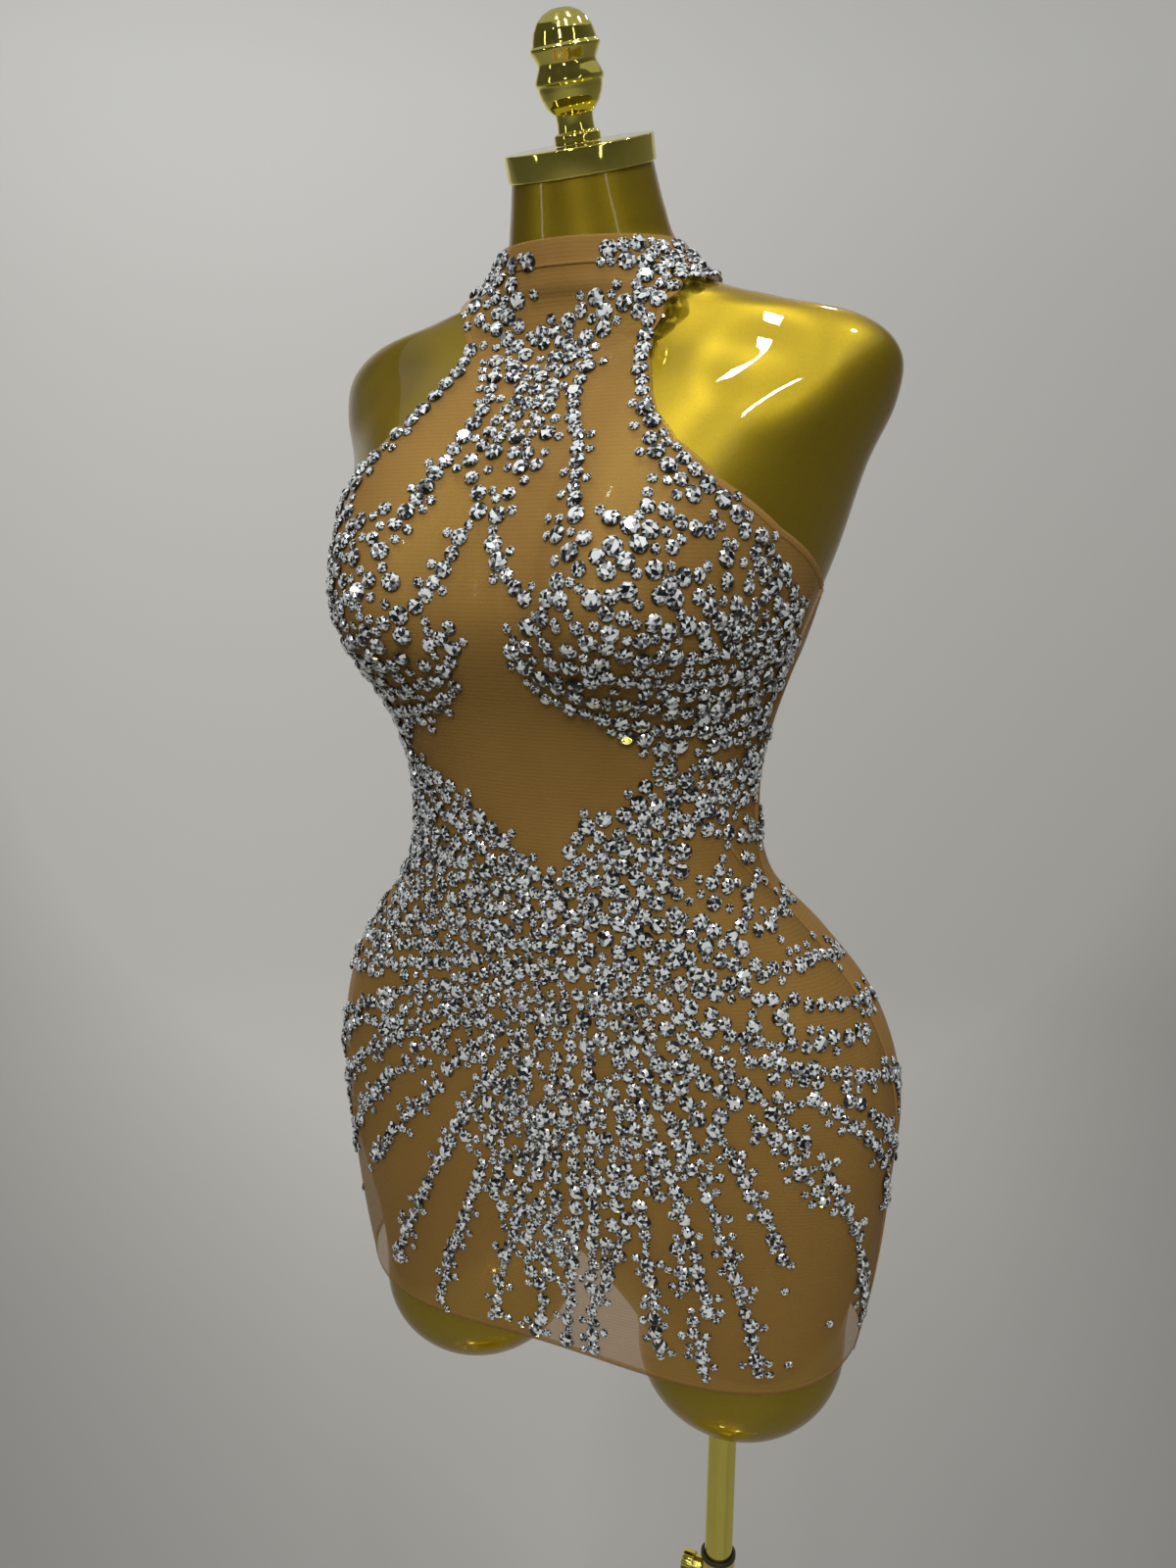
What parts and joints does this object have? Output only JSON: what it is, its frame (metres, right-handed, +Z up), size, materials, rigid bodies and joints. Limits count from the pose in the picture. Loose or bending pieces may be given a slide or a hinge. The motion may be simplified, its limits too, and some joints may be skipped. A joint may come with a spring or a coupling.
{
  "type": "mini dress on a dress form",
  "caption": "Sheer halter mini dress with a stone-covered front, worn by a limbless torso form on a telescopic pole with a round base plate.",
  "frame": {"origin": "centre of the underside of the round base plate, on the floor", "axes": "+Z up, the wearer faces -Y, the wearer's left is +X"},
  "size_m": [0.4, 0.4, 1.5533],
  "materials": {
    "nude_mesh": "sheer nude stretch mesh set with clear faceted crystals",
    "pearl_button": "pearl",
    "gold_paint": "glossy gold pearl lacquer",
    "gold_metal": "polished gold plate"
  },
  "bodies": {
    "stand": {"base_plate": "gold_metal", "lower_tube": "gold_metal"},
    "screw": {"clamp_screw": "gold_metal"},
    "mast": {"mast": "gold_metal"},
    "form": {"form_torso": "gold_paint", "neck_cap": "gold_metal", "finial": "gold_metal", "dress_front": "nude_mesh", "dress_back": "nude_mesh", "dress_collar": "nude_mesh", "collar_button_upper": "pearl_button", "collar_button_lower": "pearl_button"}
  },
  "joints": [
    {"name": "height_slide", "type": "slide", "parent": "stand", "child": "mast", "axis": [0, 0, 1], "range_m": [-0.085, 0.2]},
    {"name": "form_swivel", "type": "hinge", "parent": "mast", "child": "form", "pos_m": [0.095, 0.005, 0.72], "axis": [0, 0, 1], "continuous": true},
    {"name": "screw_turn", "type": "hinge", "parent": "stand", "child": "screw", "pos_m": [0.095, 0.005, 0.574], "axis": [-1, 0, 0], "continuous": true}
  ]
}
